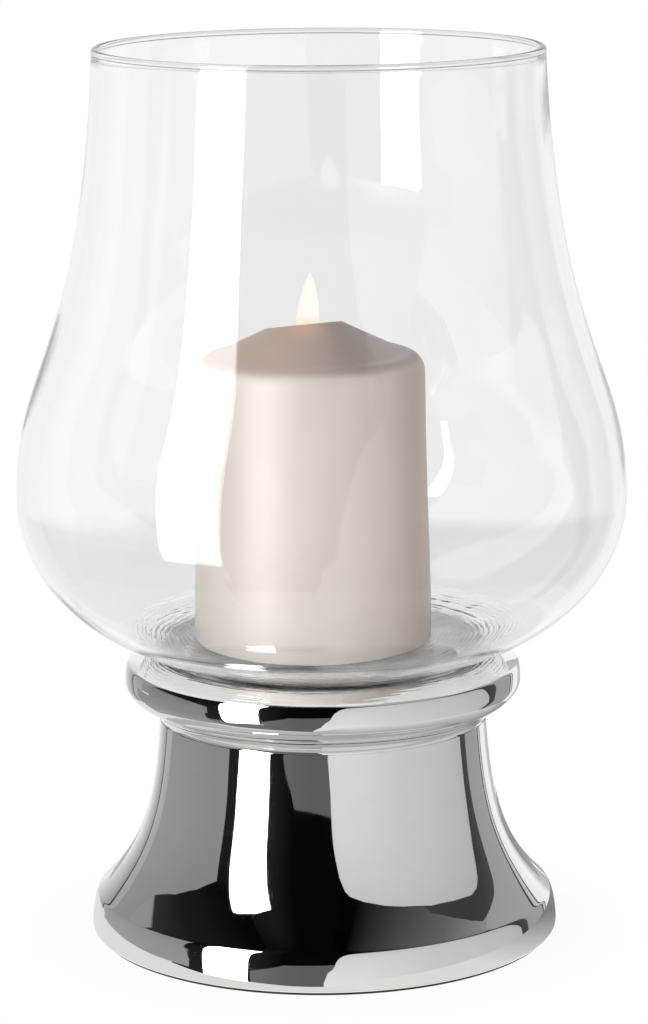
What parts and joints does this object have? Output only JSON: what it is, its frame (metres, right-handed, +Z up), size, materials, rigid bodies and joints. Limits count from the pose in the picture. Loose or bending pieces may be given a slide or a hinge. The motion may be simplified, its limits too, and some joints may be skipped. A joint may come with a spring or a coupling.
{
  "type": "hurricane lantern",
  "caption": "Tulip-shaped glass hurricane lantern on a flared polished metal pedestal, with a lacquered pillar candle standing inside the lift-off glass.",
  "frame": {"origin": "centre of the foot, on the surface the lantern stands on", "axes": "+Z up along the lantern's axis, +X to the right and -Y towards the viewer of the picture"},
  "size_m": [0.2554, 0.2554, 0.3753],
  "materials": {
    "felt": "matte felt",
    "polished_nickel": "mirror polish",
    "clear_glass": "clear blown glass",
    "champagne_coat": "satin metallic lacquer",
    "wax": "candle wax",
    "cotton": "charred cotton braid"
  },
  "bodies": {
    "base": {"foot_felt_ring": "felt", "pedestal_body": "polished_nickel", "collar_dish": "polished_nickel"},
    "glass": {"glass_shade": "clear_glass"},
    "candle": {"candle_coat": "champagne_coat", "candle_core": "wax", "wick": "cotton"}
  },
  "joints": [
    {"name": "glass_lift", "type": "slide", "parent": "base", "child": "glass", "axis": [0, 0, 1], "range_m": [0, 0.12]},
    {"name": "candle_lift", "type": "slide", "parent": "glass", "child": "candle", "axis": [0, 0, 1], "range_m": [0, 0.265]}
  ]
}
